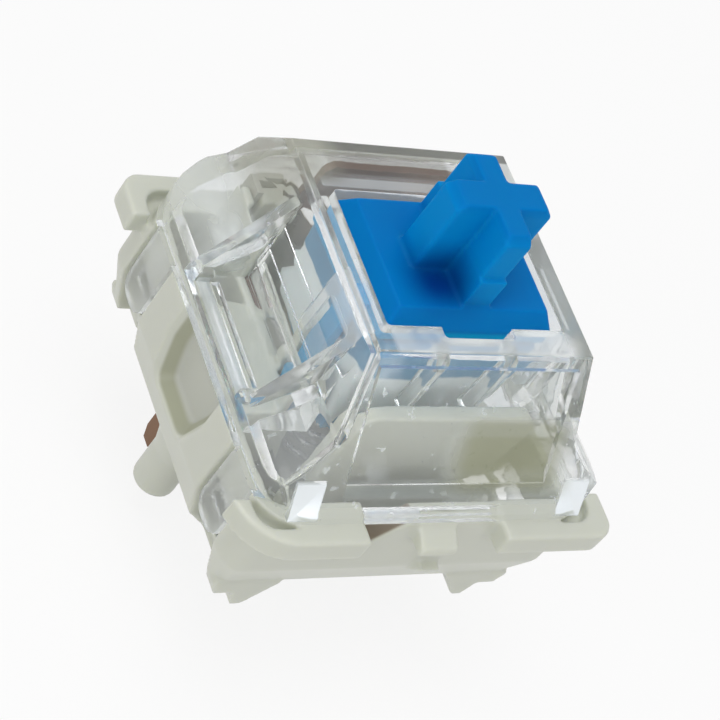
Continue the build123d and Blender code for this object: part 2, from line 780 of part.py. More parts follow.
# ---------------------------------------------------------------- return spring
spring_radius = spring_mean_diameter / 2
spring_start = floor_top + spring_wire / 2 + seat_clearance
spring_end = spring_seat - spring_wire / 2 - seat_clearance
spring_height = spring_end - spring_start
with BuildPart() as return_spring:
    with BuildLine() as coil:
        Helix(
            pitch=spring_height / spring_turns, height=spring_height, radius=spring_radius, center=(0, 0, spring_start)
        )
    with BuildSketch(Plane(origin=coil.line @ 0, z_dir=coil.line % 0)):
        Circle(spring_wire / 2)
    sweep(is_frenet=True)

return_spring.part.label = "return_spring"


pieces = (
    lower_housing,
    upper_housing,
    stem,
    click_jacket,
    moving_terminal,
    contact_leaf,
    fixed_terminal,
    moving_contact_point,
    fixed_contact_point,
    return_spring,
)
for piece in pieces:
    export_step(piece.part, f"parts/{piece.part.label}.step")

spring_solid_length = (spring_turns + 1) * spring_wire
print("spring at full travel", spring_height - travel, "solid", spring_solid_length)
print("contact gap", leaf_face_y - leaf_point_height - fixed_face_y - fixed_point_height)
print("leaf swing at the points", (fixed_pin_x - moving_fold_end_x) * sin(radians(leaf_swing)))
print("jacket above the floor when down", jacket_bottom - travel - jacket_slip - floor_top)
print("stem above the floor when down", stem_bottom - travel - floor_top)
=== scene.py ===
import math

import bpy
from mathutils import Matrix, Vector


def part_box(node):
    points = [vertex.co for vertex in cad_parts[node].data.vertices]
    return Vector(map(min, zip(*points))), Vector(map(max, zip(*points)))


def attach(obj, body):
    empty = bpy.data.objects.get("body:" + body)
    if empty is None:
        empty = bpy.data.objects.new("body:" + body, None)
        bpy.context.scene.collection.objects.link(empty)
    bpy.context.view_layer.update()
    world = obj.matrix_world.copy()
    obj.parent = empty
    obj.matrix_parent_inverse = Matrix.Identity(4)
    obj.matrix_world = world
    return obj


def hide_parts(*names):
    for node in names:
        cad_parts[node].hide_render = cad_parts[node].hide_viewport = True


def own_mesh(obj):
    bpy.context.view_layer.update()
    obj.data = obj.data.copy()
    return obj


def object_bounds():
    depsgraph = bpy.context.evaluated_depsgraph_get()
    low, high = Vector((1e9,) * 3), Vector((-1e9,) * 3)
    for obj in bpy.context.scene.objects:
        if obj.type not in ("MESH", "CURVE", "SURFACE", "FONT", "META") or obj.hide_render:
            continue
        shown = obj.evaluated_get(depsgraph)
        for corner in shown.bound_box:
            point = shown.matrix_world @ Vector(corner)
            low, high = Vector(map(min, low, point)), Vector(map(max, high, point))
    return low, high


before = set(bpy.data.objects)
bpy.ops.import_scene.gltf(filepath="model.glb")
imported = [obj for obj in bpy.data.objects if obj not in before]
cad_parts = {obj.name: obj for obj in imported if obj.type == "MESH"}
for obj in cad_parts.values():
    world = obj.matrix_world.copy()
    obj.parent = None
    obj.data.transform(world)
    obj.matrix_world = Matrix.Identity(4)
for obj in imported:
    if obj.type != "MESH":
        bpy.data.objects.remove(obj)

bl_info = {
    "name": "Clear Key Switch",
    "version": (1, 0, 0),
    "blender": (4, 5, 0),
    "location": "3D View > Sidebar > Key Switch",
    "description": "Dresses a clear-topped keyboard switch: housings, stem, contacts and studio",
    "category": "Add Mesh",
}

MM = 0.001
SOFT_EDGE = 0.06
CAD_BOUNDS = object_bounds()


# ---------------------------------------------------------------- shader maths
class Wire:
    """A value travelling through a material, so that shader maths reads as plain sums."""

    def __init__(self, finish, socket):
        self.finish, self.socket = finish, socket

    def __add__(self, other):
        return self.finish.maths("ADD", self, other)

    __radd__ = __add__

    def __mul__(self, other):
        return self.finish.maths("MULTIPLY", self, other)

    __rmul__ = __mul__

    def __rsub__(self, other):
        return self.finish.maths("SUBTRACT", other, self)


class Finish:
    """The nodes of one material, or of the room's light, under construction."""

    def __init__(self, owner):
        owner.use_nodes = True
        self.owner, self.tree = owner, owner.node_tree
        self.tree.nodes.clear()
        self.axes = {}

    def node(self, kind, settings=None, inputs=None, output=0):
        """Adds any node: its settings first, then the values or wires of its sockets."""
        made = self.tree.nodes.new(kind)
        for key, value in (settings or {}).items():
            setattr(made, key, value)
        for key, value in (inputs or {}).items():
            if isinstance(value, Wire):
                self.tree.links.new(value.socket, made.inputs[key])
            else:
                made.inputs[key].default_value = value
        return Wire(self, made.outputs[output])

    def maths(self, operation, *values):
        """One step of arithmetic on wires and numbers."""
        return self.node("ShaderNodeMath", {"operation": operation}, dict(enumerate(values)))

    def place(self):
        """Where a point lies on the object, in metres."""
        return self.node("ShaderNodeTexCoord", output="Object")

    def cloud(self, scale, detail=2.0, stretch=(1, 1, 1)):
        """Soft noise from 0 to 1; the scale is in patches per metre."""
        spot = self.node("ShaderNodeMapping", {}, {"Vector": self.place(), "Scale": stretch})
        return self.node("ShaderNodeTexNoise", {}, {"Vector": spot, "Scale": scale, "Detail": detail})

    def blend(self, share, first, second):
        """A colour between two, by a share from 0 to 1."""
        return self.node("ShaderNodeMix", {"data_type": "RGBA"}, {0: share, 6: first, 7: second}, output=2)

    def bump(self, height, strength, distance):
        """A normal roughened by a height; the distance is in metres."""
        return self.node("ShaderNodeBump", {}, {"Height": height, "Strength": strength, "Distance": distance})

    def along(self, axis):
        """How far a point lies along x, y or z, or across: from the middle along x, either way. In millimetres."""
        if axis not in self.axes:
            if axis == "across":
                self.axes[axis] = self.maths("ABSOLUTE", self.along("x"))
            else:
                part = self.node("ShaderNodeSeparateXYZ", {}, {"Vector": self.place()}, output=axis.upper())
                self.axes[axis] = part * (1 / MM)
        return self.axes[axis]

    def step(self, value, low, high):
        """Rises softly from 0 to 1 as a value goes from low to high."""
        settings = {"interpolation_type": "SMOOTHSTEP"}
        return self.node("ShaderNodeMapRange", settings, {"Value": value, "From Min": low, "From Max": high})

    def patch(self, **sides):
        """1 inside a patch of the piece and 0 outside it.

        Each side is an axis with a low place, a high place and the reach of its soft edge, in millimetres.
        A place of None leaves the patch open on that side.
        """
        inside = []
        for axis, (low, high, *edge) in sides.items():
            place, reach = self.along(axis), edge[0] if edge else SOFT_EDGE
            if low is not None:
                inside.append(self.step(place, low - reach, low + reach))
            if high is not None:
                inside.append(1.0 - self.step(place, high - reach, high + reach))
        return math.prod(inside[1:], start=inside[0])

    def largest(self, first, *others):
        """The largest of several shares at each point."""
        for other in others:
            first = self.maths("MAXIMUM", first, other)
        return first

    def rays(self, *kinds):
        """1 for the named kinds of ray, 0 for the others."""
        return self.largest(*[self.node("ShaderNodeLightPath", output=f"Is {kind} Ray") for kind in kinds])

    def principled(self, **sockets):
        """The main surface shader; a socket's name has _ for each space."""
        names = {key.replace("_", " "): value for key, value in sockets.items()}
        return self.node("ShaderNodeBsdfPrincipled", {}, names)

    def close(self, shader, kind="ShaderNodeOutputMaterial"):
        """Puts a shader on the output."""
        self.tree.links.new(shader.socket, self.tree.nodes.new(kind).inputs["Surface"])
        return self.owner


def start(name):
    """A new material, ready for its nodes."""
    return Finish(bpy.data.materials.new(name))


def tinted(colour, red=1.0, green=1.0, blue=1.0):
    """A setting's colour with each channel multiplied, and full strength in its fourth channel."""
    return (colour[0] * red, colour[1] * green, colour[2] * blue, 1.0)


def shaded(colour, factor):
    """A setting's colour, lighter or darker."""
    return tinted(colour, factor, factor, factor)


# ---------------------------------------------------------------- materials
WHITE = (1, 1, 1, 1)
EVEN = (1, 1, 1)
GRAIN_DEPTH, RIPPLE_DEPTH = 0.00001, 0.00006


def milky_plastic(settings):
    """Milky translucent moulded plastic, with painted shade in the side bowls and painted dark brown shade in the
    front notch.
    """
    finish = start("milky plastic")
    patches = finish.cloud(230.0, 3.0)
    flow = finish.cloud(700.0, stretch=(1, 1, 0.3))
    grain = finish.cloud(9000.0)
    bowl = finish.patch(across=(6.12, 6.7), y=(-2.1, 2.1), z=(2.55, None, 0.05))
    bowl_back = finish.patch(across=(None, 6.32, 0.08))
    # Painted shade and reflection: the notch in the front is made dark brown, for the dark chamber behind it and the
    # copper showing in it.
    notch = finish.patch(x=(-2.9, -0.9), y=(-6.88, -5.6), z=(3.4, 5.95))
    tone = finish.blend(patches, shaded(settings.milky, 0.95), shaded(settings.milky, 1.07))
    # thin: painted shade in the side bowls, olive on their slopes and lighter at their backs.
    thin = finish.blend(bowl_back, tinted(settings.milky, 0.62, 0.62, 0.52), shaded(settings.milky, 0.84))
    tone = finish.blend(bowl, tone, thin)
    return finish.close(finish.principled(
        Base_Color=finish.blend(notch, tone, tinted(settings.milky, 0.42, 0.34, 0.30)),
        Roughness=0.30 + 0.12 * patches + 0.05 * flow,
        Normal=finish.bump(grain + 2.0 * flow, 0.15, GRAIN_DEPTH),
        Subsurface_Weight=0.35,
        Subsurface_Radius=(0.0010, 0.0010, 0.0007),
        Subsurface_Scale=0.6,
        IOR=1.46,
    ))


def clear_plastic(settings):
    """Clear moulded polycarbonate: flow ripples, a light clouding, frosted latches and right rim; painted highlights
    on facets, sill, rims and in streaks, painted shade in patches, and painted copper seen through the top.
    """
    finish = start("clear plastic")
    ripple = finish.cloud(420.0, stretch=(1, 1, 2.2))
    crinkle = finish.cloud(1500.0)
    smear = finish.cloud(150.0)
    # Painted highlights: white, mirror-like streaks in the glass.
    glint_streaks = finish.step(finish.cloud(520.0, 3.0, stretch=(1, 0.35, 1)), 0.56, 0.72)
    specks = finish.step(finish.cloud(2600.0, 3.0), 0.64, 0.70) * finish.patch(y=(None, -4.0))
    top = (11.5, None, 0.05)
    latch = finish.patch(z=(None, 5.85, 0.15))
    right_rim = finish.patch(x=(3.72, None, 0.04), z=(11.525, None, 0.025))
    wing = finish.patch(across=(5.15, None, 0.45), z=(7.1, None, 0.5))
    # Painted highlight: the facets at the front's corners are made white and mirror-like.
    facet = finish.patch(across=(5.05, 6.22), y=(None, -6.05), z=(6.2, 7.45))
    # Painted highlight: a white, mirror-like band along each side's sill.
    sill = finish.patch(across=(6.35, 6.9), y=(-2.5, 2.5), z=(6.75, 7.1))
    # Painted sheen: a grey, slightly mirror-like band along the fillet under the front panel.
    lip = finish.patch(x=(-4.2, 4.2), y=(None, -5.9), z=(6.85, 7.35, 0.15))
    back = finish.patch(y=(2.975, None, 0.225))
    # Painted shade: a dark line along the back edge of the top.
    back_edge = finish.patch(y=(4.6, 5.3), z=(11.25, None, 0.05))
    # Painted highlight: a white, mirror-like band along the back rim of the stem opening.
    back_rim = finish.patch(across=(None, 4.1), y=(2.95, 3.4), z=(11.4, None, 0.05))
    # Painted refraction: a dark brown strip behind the stem opening stands in for the copper parts seen through the
    # top.
    back_strip = finish.patch(x=(-3.6, 1.8, 0.3), y=(3.5, 4.6, 0.15), z=top)
    front_rim = finish.patch(x=(-3.7, 3.9, 0.2), y=(-3.95, -2.9, 0.15), z=top)
    # Painted shade: an olive cast over the right of the front face.
    front_face = finish.patch(x=(0.0, 4.9, 0.9), y=(None, -4.9), z=(6.95, 9.4, 0.4))
    # Painted shade: a grey-olive cast on the back left wing.
    left_wing = finish.patch(x=(None, -3.2, 0.8), y=(3.2, 6.3, 0.4), z=(8.8, None, 0.5))
    arch = finish.patch(across=(3.9, 4.06, 0.02), y=(-2.8, -0.15), z=(7.85, None, 0.05))
    glass = finish.principled(
        Base_Color=finish.blend(smear, tinted(settings.clear), shaded(settings.clear, 0.97)),
        Roughness=0.015 + 0.05 * smear + 0.35 * finish.largest(latch, right_rim),
        Normal=finish.bump(ripple + 0.3 * crinkle, 0.35, RIPPLE_DEPTH),
        Transmission_Weight=1.0,
        IOR=1.42,
    )
    # Colour of the white clouding, with the painted tones of the patches above laid over it.
    tone = finish.blend(smear, (0.80, 0.84, 0.84, 1), (0.92, 0.95, 0.98, 1))
    painted_tones = (
        (lip, (0.42, 0.46, 0.45, 1)),
        (back_edge, (0.08, 0.08, 0.07, 1)),
        (front_face, (0.33, 0.34, 0.22, 1)),
        (back_strip, (0.06, 0.04, 0.03, 1)),
        (left_wing, (0.36, 0.36, 0.29, 1)),
    )
    for patch, shade in painted_tones:
        tone = finish.blend(patch, tone, shade)
    # White, mirror-like patches here make the painted highlights.
    mist_and_painted_light = finish.principled(
        Base_Color=tone,
        Metallic=finish.largest(facet, sill * 0.8, glint_streaks * 0.8, lip * 0.2, back_rim, specks),
        Roughness=0.25 + 0.2 * smear,
    )
    # Share of the white clouding over the glass: a light even clouding, more on the wings, and the painted highlight
    # and shade patches.
    haze_and_painted_light = finish.largest(
        0.05 + 0.06 * smear + glint_streaks * (0.10 + 0.22 * wing) + wing * (0.10 + 0.26 * back * smear),
        facet * 0.9, sill * 0.55, lip * 0.4, back_edge * 0.75, back_rim * 0.35, specks * 0.3, arch * 0.5,
        front_rim * 0.5, front_face * 0.55, back_strip * (0.25 + 0.4 * smear), left_wing * (0.1 + 0.4 * smear),
    )
    misty_and_painted = finish.node("ShaderNodeMixShader", {}, {0: haze_and_painted_light, 1: glass, 2: mist_and_painted_light})
    # Light reaches the parts inside as it does through thin clear walls, and a long path ends in open air.
    open_air = finish.node("ShaderNodeBsdfTransparent", {}, {"Color": (0.95, 0.955, 0.95, 1)})
    mirrored = finish.step(finish.node("ShaderNodeLightPath", output="Glossy Depth"), 1.5, 2.5)
    passed = finish.step(finish.node("ShaderNodeLightPath", output="Ray Depth"), 8.5, 9.5)
    through = finish.largest(finish.rays("Shadow", "Diffuse"), mirrored, passed)
    return finish.close(finish.node("ShaderNodeMixShader", {}, {0: through, 1: misty_and_painted, 2: open_air}))


def blue_plastic(settings):
    """Satin blue acetal, with painted shade in the nook beside the cross and painted light on its arms and below the
    platform.
    """
    finish = start("blue plastic")
    patches = finish.cloud(300.0)
    # Painted shade: the front left nook beside the cross, where the cross shades the platform, is darkened.
    nook = finish.patch(x=(-2.2, -0.2, 0.9), y=(-2.1, -0.4, 0.8), z=(None, 12.9, 0.8))
    tone = finish.blend(patches, shaded(settings.blue, 0.92), shaded(settings.blue, 1.06))
    # Painted light: the cross's arms are made lighter, for light shining through them.
    tone = finish.blend(finish.patch(z=(12.2, 15.0, 0.3)), tone, tinted(settings.blue, 1.0, 1.35, 1.2))
    # Painted light: the stem below the platform, seen through the clear housing, is made lighter.
    tone = finish.blend(finish.patch(z=(None, 11.05, 0.1)), tone, tinted(settings.blue, 1.0, 1.7, 1.2))
    return finish.close(finish.principled(
        Base_Color=finish.blend(nook * 0.9, tone, tinted(settings.blue, 1.0, 0.14, 0.38)),
        Roughness=0.42 + 0.12 * patches,
        Normal=finish.bump(finish.cloud(12000.0), 0.15, GRAIN_DEPTH),
        Specular_IOR_Level=0.05,
        Subsurface_Weight=0.35,
        Subsurface_Radius=(0.0001, 0.0004, 0.0008),
        Subsurface_Scale=1.0,
    ))


def white_plastic(settings):
    """White acetal of the click jacket, with a painted reflection of the stem's blue along its top."""
    finish = start("white plastic")
    patches = finish.cloud(400.0)
    # Painted reflection: the jacket's top takes the stem's blue.
    top = finish.patch(z=(8.95, None, 0.1))
    tone = finish.blend(patches, shaded(settings.white, 0.95), tinted(settings.white))
    return finish.close(finish.principled(
        Base_Color=finish.blend(top * 0.95, tone, tinted(settings.blue, 1.0, 1.15, 0.8)),
        Roughness=0.35 + 0.1 * patches,
        Specular_IOR_Level=0.15,
        Subsurface_Weight=0.2,
        Subsurface_Radius=(0.0002, 0.0004, 0.0006),
        Subsurface_Scale=1.0,
    ))


def stamped_metal(name, colour, rough, streak=EVEN):
    """Stamped sheet or drawn wire with fine streaks along one axis, tinned where the leaf is fixed."""
    finish = start(name)
    lines = finish.cloud(2600.0, stretch=streak)
    tinned = finish.patch(x=(None, -2.55, 0.05), z=(5.8, None, 0.1))
    tone = finish.blend(finish.cloud(500.0), tinted(colour), shaded(colour, 0.72))
    return finish.close(finish.principled(
        Base_Color=finish.blend(tinned, tone, (0.55, 0.55, 0.49, 1)),
        Metallic=1.0 - tinned,
        Roughness=rough + 0.18 * lines + 0.3 * tinned,
        Normal=finish.bump(lines, 0.2, GRAIN_DEPTH),
    ))


def studio_floor():
    """White floor that keeps a faint shadow."""
    finish = start("studio floor")
    paper = finish.blend(finish.cloud(30.0, 1.0), shaded(WHITE, 0.9), shaded(WHITE, 0.91))
    diffuse = finish.node("ShaderNodeBsdfDiffuse", {}, {"Color": paper})
    glow = finish.node("ShaderNodeEmission", {}, {"Color": WHITE, "Strength": 1.0})
    seen = finish.rays("Camera", "Glossy", "Transmission")
    return finish.close(finish.node("ShaderNodeMixShader", {}, {0: seen * 0.85, 1: diffuse, 2: glow}))


def room_light(world, strength):
    """Even light on the parts, and a brighter room in their reflections."""
    finish = Finish(world)
    even = finish.node("ShaderNodeBackground", {}, {"Color": WHITE, "Strength": strength})
    bright = finish.node("ShaderNodeBackground", {}, {"Color": (0.95, 0.97, 1.0, 1), "Strength": 0.95})
    seen = finish.rays("Camera", "Glossy", "Transmission")
    mixed = finish.node("ShaderNodeMixShader", {}, {0: seen, 1: even, 2: bright})
    return finish.close(mixed, "ShaderNodeOutputWorld")


# ---------------------------------------------------------------- modelling helpers
# Shapes are modelled in millimetres and brought to metres when a piece is finished.
SHARP_CREASE, SOFT_CREASE = 32.0, 60.0


def clear_selection():
    """Leaves edit mode and selects nothing."""
    if bpy.context.object and bpy.context.object.mode != "OBJECT":
        bpy.ops.object.mode_set(mode="OBJECT")
    bpy.ops.object.select_all(action="DESELECT")


def pick(*pieces):
    """Selects pieces, the first of them active."""
    clear_selection()
    for piece in pieces:
        piece.select_set(True)
    bpy.context.view_layer.objects.active = pieces[0]


def rounded(corners, steps=5):
    """An outline through corners given as (u, v) or (u, v, radius)."""
    outline = []
    for index, corner in enumerate(corners):
        here = Vector(corner[:2])
        if len(corner) < 3 or not corner[2]:
            outline.append(here)
            continue
        before = (Vector(corners[index - 1][:2]) - here).normalized()
        after = (Vector(corners[(index + 1) % len(corners)][:2]) - here).normalized()
        half = before.angle(after) / 2
        centre = here + (before + after).normalized() * corner[2] / math.sin(half)
        first = here + before * corner[2] / math.tan(half) - centre
        last = here + after * corner[2] / math.tan(half) - centre
        for step in range(steps + 1):
            outline.append(centre + first.slerp(last, step / steps).normalized() * corner[2])
    return outline


def rectangle(low_u, high_u, low_v, high_v, radius=0.0):
    """An outline of four sides with rounded corners."""
    corners = ((low_u, low_v), (high_u, low_v), (high_u, high_v), (low_u, high_v))
    return rounded([(u, v, radius) for u, v in corners])


def square(half, radius):
    """A square outline about the middle."""
    return rectangle(-half, half, -half, half, radius)


def turned(profile, side):
    """A profile as it is on one side, or mirrored to the other."""
    return [(side * u, v) for u, v in profile]


def span(half):
    """From one side of the middle to the other."""
    return (-half, half)


def inset(outline, amount):
    """The same outline with every side moved in by an amount."""
    area = sum(a[0] * b[1] - a[1] * b[0] for a, b in zip(outline, outline[1:] + outline[:1]))
    turn = 1 if area > 0 else -1
    lines = []
    for here, there in zip(outline, outline[1:] + outline[:1]):
        along = (Vector(there[:2]) - Vector(here[:2])).normalized()
        inward = Vector((-along.y, along.x)) * turn
        lines.append((Vector(here[:2]) + inward * amount, along))
    moved = []
    for (point, along), (other, beside) in zip(lines[-1:] + lines[:-1], lines):
        cross = along.x * beside.y - along.y * beside.x
        reach = ((other.x - point.x) * beside.y - (other.y - point.y) * beside.x) / cross
        moved.append(point + along * reach)
    return moved


def spot(axis, place, u, v):
    """A point of an outline that lies across an axis, at a place along it."""
    return {"x": (place, u, v), "y": (u, place, v), "z": (u, v, place)}[axis]


def solid(axis, *sections):
    """A closed solid through outlines across an axis: each section is a place and an outline."""
    clear_selection()
    bpy.ops.mesh.primitive_circle_add(vertices=len(sections[0][1]), fill_type="NGON")
    piece = bpy.context.object
    ring = list(piece.data.vertices)
    for index, (place, outline) in enumerate(sections):
        if index:
            bpy.ops.object.mode_set(mode="EDIT")
            bpy.ops.mesh.extrude_region_move(TRANSFORM_OT_translate={"value": (0, 0, 1)})
            bpy.ops.object.mode_set(mode="OBJECT")
            raised = [vertex for vertex in piece.data.vertices if vertex.select]
            before = {tuple(round(part, 4) for part in co): number for number, co in enumerate(old)}
            raised.sort(key=lambda vertex: before[tuple(round(p, 4) for p in vertex.co - Vector((0, 0, 1)))])
            ring = raised
        for vertex, (u, v) in zip(ring, outline):
            vertex.co = spot(axis, place, u, v)
        old = [vertex.co.copy() for vertex in ring]
    bpy.ops.object.mode_set(mode="EDIT")
    bpy.ops.mesh.select_all(action="SELECT")
    bpy.ops.mesh.normals_make_consistent(inside=False)
    bpy.ops.object.mode_set(mode="OBJECT")
    return piece


def prism(axis, reach, outline):
    """A solid of one outline between two places along an axis."""
    return solid(axis, (reach[0], outline), (reach[1], outline))


def block(x, y, z, radius=0.0):
    """A box between two places along each axis, its upright edges rounded."""
    (low_x, high_x), (low_y, high_y), (low_z, high_z) = sorted(x), sorted(y), sorted(z)
    return prism("z", (low_z, high_z), rectangle(low_x, high_x, low_y, high_y, radius))


def rod(x, y, low, high, radius, tip=0.0, root=None, sides=40):
    """An upright round rod, with a bevelled lower end and a root of another radius."""
    turns = [2 * math.pi * step / sides for step in range(sides)]

    def disc(size):
        return [Vector((x + size * math.cos(turn), y + size * math.sin(turn))) for turn in turns]

    sections = [(high, disc(root or radius)), (low + tip, disc(radius))]
    if tip:
        sections.append((low, disc(radius - tip)))
    return solid("z", *sections)


def soften(piece, width, segments=3, angle=25.0):
    """Rounds the sharp edges of a solid."""
    pick(piece)
    bevel = piece.modifiers.new("soften", "BEVEL")
    bevel.width, bevel.segments, bevel.limit_method = width, segments, "ANGLE"
    bevel.angle_limit = math.radians(angle)
    bpy.ops.object.modifier_apply(modifier=bevel.name)
    return piece


def combine(piece, operation, tools):
    """Joins solids to a piece, or cuts it with them, one after the other."""
    for tool in tools:
        pick(piece)
        change = piece.modifiers.new("combine", "BOOLEAN")
        change.operation, change.solver, change.object = operation, "EXACT", tool
        bpy.ops.object.modifier_apply(modifier=change.name)
        bpy.data.objects.remove(tool)
    if not piece.data.polygons:
        raise RuntimeError("a solid vanished while it was shaped")
    return piece


def weld(piece, *tools):
    return combine(piece, "UNION", tools)


def carve(piece, *tools):
    return combine(piece, "DIFFERENCE", tools)


def trim(piece, *tools):
    return combine(piece, "INTERSECT", tools)


def melt(piece, grain, passes=4, share=0.4):
    """Turns a welded solid into one skin with soft edges, then thins the flat parts of it."""
    pick(piece)
    skin = piece.modifiers.new("skin", "REMESH")
    skin.mode, skin.voxel_size, skin.use_smooth_shade = "VOXEL", grain, True
    bpy.ops.object.modifier_apply(modifier=skin.name)
    smooth = piece.modifiers.new("smooth", "SMOOTH")
    smooth.factor, smooth.iterations = 0.5, passes
    bpy.ops.object.modifier_apply(modifier=smooth.name)
    thin = piece.modifiers.new("thin", "DECIMATE")
    thin.ratio = share
    bpy.ops.object.modifier_apply(modifier=thin.name)
    return piece


def hand_over(piece, name, material, body, slot, *nodes, crease=SHARP_CREASE):
    """Brings a finished piece to metres and hangs it on its body in place of the CAD nodes."""
    pick(piece)
    bpy.ops.object.shade_smooth_by_angle(angle=math.radians(crease))
    piece.scale = (MM, MM, MM)
    bpy.ops.object.transform_apply(location=True, rotation=True, scale=True)
    piece.name = piece.data.name = name
    piece.data.materials.clear()
    piece.data.materials.append(material)
    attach(piece, body)
    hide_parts(*nodes)
    return piece


def dress(node, material):
    """Gives a CAD node its material in every slot."""
    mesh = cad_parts[node].data
    if not mesh.materials:
        mesh.materials.append(material)
    for index in range(len(mesh.materials)):
        mesh.materials[index] = material


# ---------------------------------------------------------------- lower housing
SIDES = (-1, 1)
CORNERS = [(side, end) for side in SIDES for end in SIDES]
BEYOND = 9.0
# Half widths and heights; a profile's points are how far out from the middle and how far up.
BODY, SKIRT, KEEL, FLANGE, CHAMBER = 6.95, 6.35, 5.25, 7.8, 5.95
FLOOR, SKIRT_TOP, BODY_LOW, SEAT = 0.9, 1.3, 3.0, 5.9
CORNER = 0.8
PAD_GAP, PAD_INNER, PAD_HEIGHTS = 2.9, 5.9, (5.0, 6.0)
TAB_HALF, NUB_HALF = 0.78, 0.43
TAB = ((5.7, 5.0), (5.7, 5.75), (6.95, 5.75), (7.8, 5.35), (7.8, 5.0))
NUB = ((6.4, 3.5), (6.95, 3.5), (7.4, 3.35), (6.95, 2.7), (6.4, 2.7))
NOTCH = ((-2.9, 3.5), (-0.9, 6.0), (-0.85, 6.2), (-2.9, 6.2))
FOOT = (
    (3.65, SKIRT_TOP), (4.6, 0.0), (5.05, 0.0), (5.35, 0.75), (6.1, 0.75), (SKIRT, SKIRT_TOP), (SKIRT, 1.5),
    (3.65, 1.5),
)
LATCH_BAY = (3.6, 5.65)
BAY_BEVEL = ((6.3, 2.7), (5.2, 0.5), (8.0, 0.5), (8.0, 2.7))
GUIDE, GUIDE_HALF = 3.67, 2.27
BLADE, PIN = (-4.01, -3.61), (2.04, 3.04)
FIXED_BLADE = (4.88, 5.28)
POLE_BORE = 1.02
SIDE_POST, SIDE_POST_RADIUS = 5.08, 0.85
LEAD_X, LEAD_Y = 1.27, -5.08


def shield(half, shoulder, foot_half, foot, radius):
    """An outline with an open top whose lower corners are cut and rounded."""
    right = [(foot_half, foot, radius), (half, shoulder, radius), (half, 7.5)]
    return rounded([(-corner[0], *corner[1:]) for corner in reversed(right)] + right)


